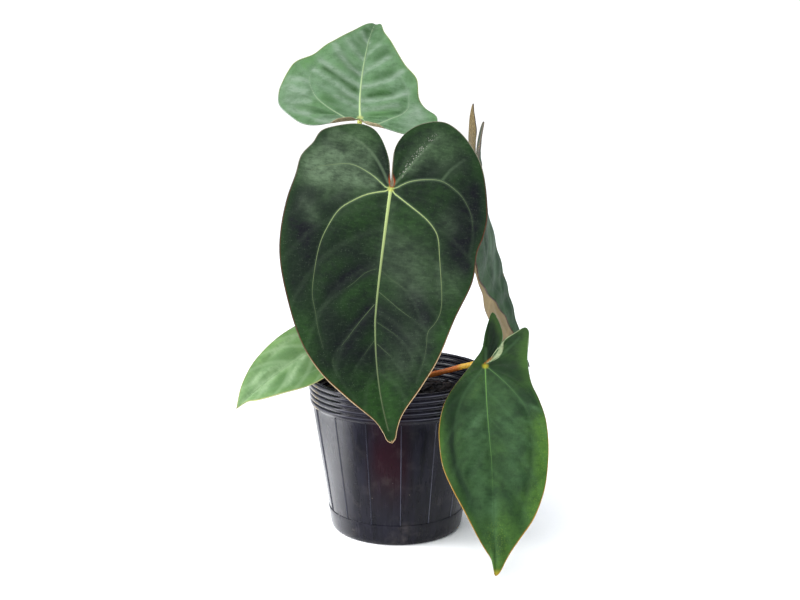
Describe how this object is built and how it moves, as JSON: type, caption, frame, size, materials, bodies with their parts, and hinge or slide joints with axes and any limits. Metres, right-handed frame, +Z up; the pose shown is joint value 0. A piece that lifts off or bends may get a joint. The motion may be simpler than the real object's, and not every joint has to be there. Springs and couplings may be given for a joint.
{
  "type": "potted anthurium hybrid",
  "caption": "Upright potted aroid with velvety heart-shaped leaves on long slender stalks, rising from one short stem in a soft black round nursery pot.",
  "frame": {"origin": "middle of the pot's flat bottom face, on the surface that it stands on", "axes": "+Z up along the pot's axis; -Y is the side that the largest leaf hangs on; +X is to the right seen from there"},
  "size_m": [0.1743, 0.2025, 0.2947],
  "materials": {
    "pot": "soft black moulded plastic with a low sheen",
    "potting_mix": "damp dark bark and peat crumbs, rough",
    "stem": "green-brown stem with leaf scars and pale roots",
    "sheaths": "dry papery brown sheath remains",
    "stalk": "smooth orange-brown leaf stalk, yellower at the knee",
    "blade_front": "velvety dark green with pale yellow-green main veins",
    "blade_top": "velvety mid green, puckered between pale side veins",
    "blade_right": "grey-green above, beige underneath",
    "blade_low": "satin mid green with light veins and a golden margin",
    "blade_left": "fresh light green with pale veins"
  },
  "bodies": {
    "root": {"pot": "pot", "potting_mix": "potting_mix", "stem": "stem", "sheaths": "sheaths", "stalk_front": "stalk", "blade_front": "blade_front", "stalk_top": "stalk", "blade_top": "blade_top", "stalk_right": "stalk", "blade_right": "blade_right", "stalk_low": "stalk", "blade_low": "blade_low", "stalk_left": "stalk", "blade_left": "blade_left"}
  },
  "joints": []
}
